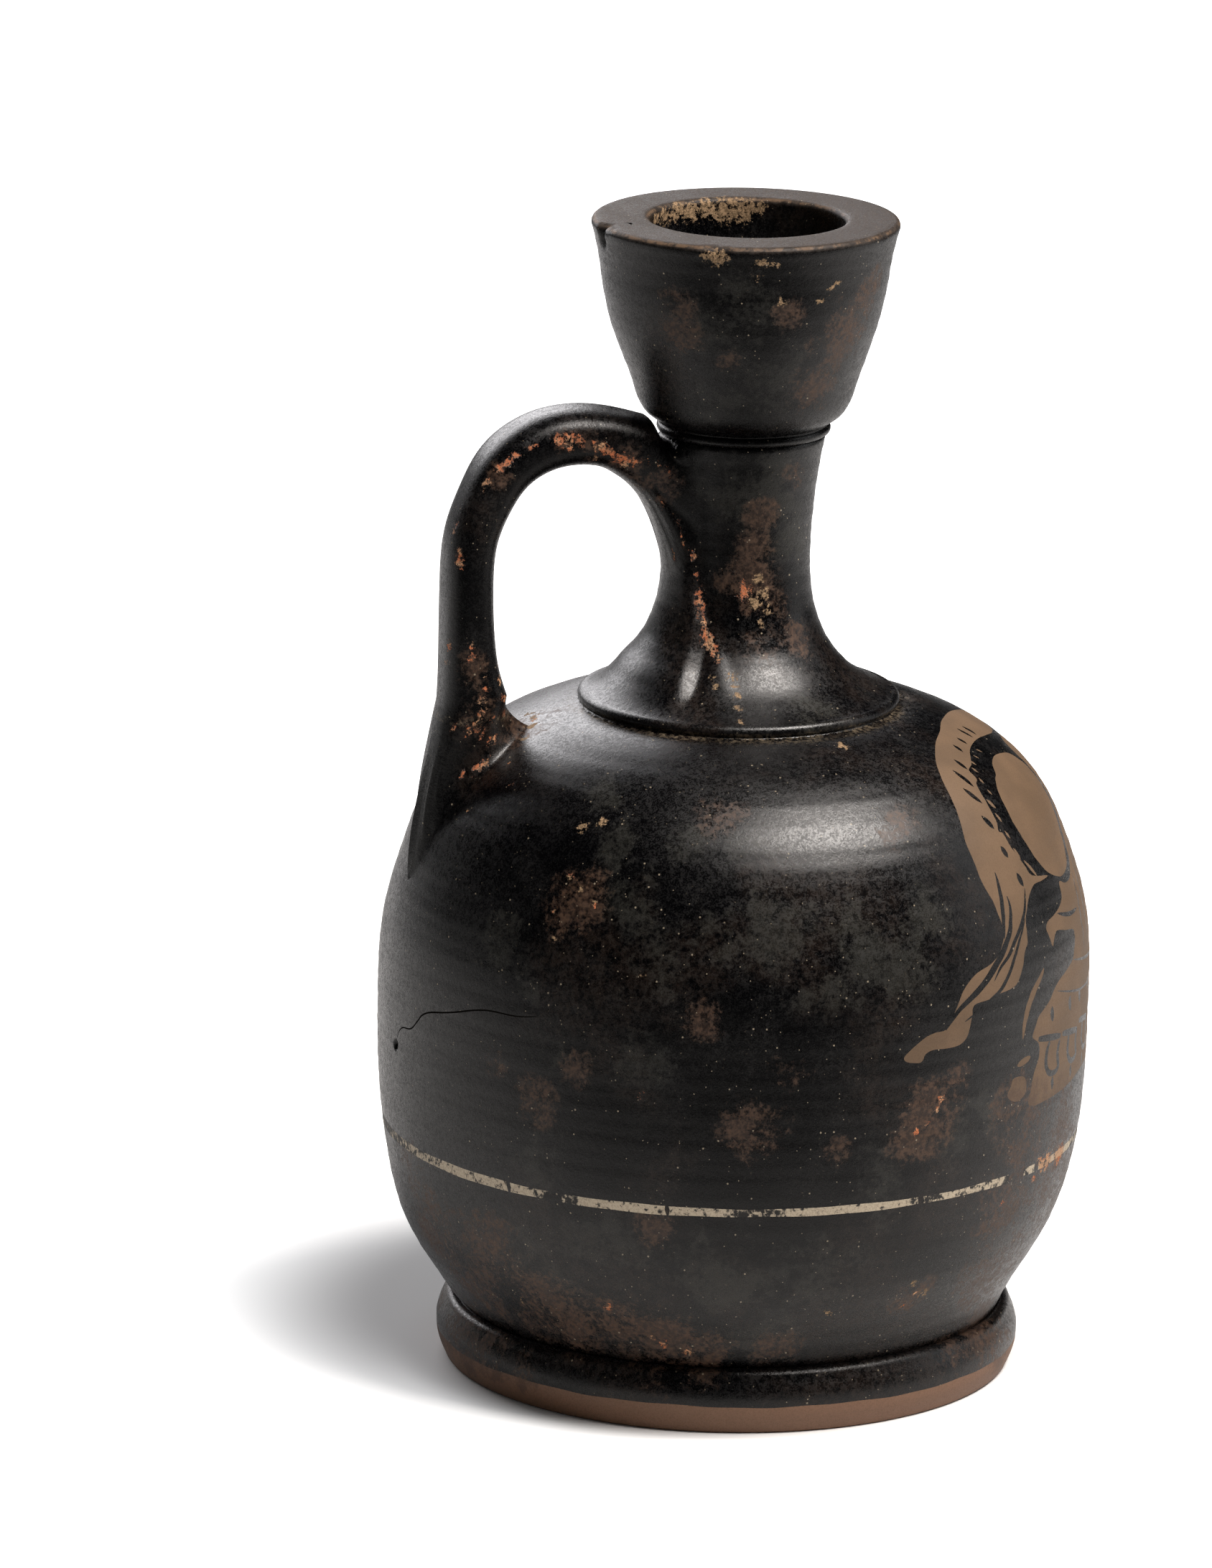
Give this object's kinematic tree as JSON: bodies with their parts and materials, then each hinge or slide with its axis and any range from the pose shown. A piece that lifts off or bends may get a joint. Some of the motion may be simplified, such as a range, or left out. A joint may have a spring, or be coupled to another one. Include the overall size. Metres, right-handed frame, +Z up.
{
  "type": "squat lekythos",
  "caption": "Footed oil flask with a round belly, narrow neck, bell mouth and one strap handle, for holding and pouring oil.",
  "frame": {"origin": "centre of the foot's resting ring, on the surface that the flask stands on", "axes": "+Z up along the axis that the flask was turned on; the handle stands out along -X and the painted side faces +X"},
  "size_m": [0.0914, 0.0914, 0.1487],
  "materials": {
    "black_gloss_clay": "gloss"
  },
  "bodies": {
    "root": {"squat_lekythos": "black_gloss_clay"}
  },
  "joints": []
}
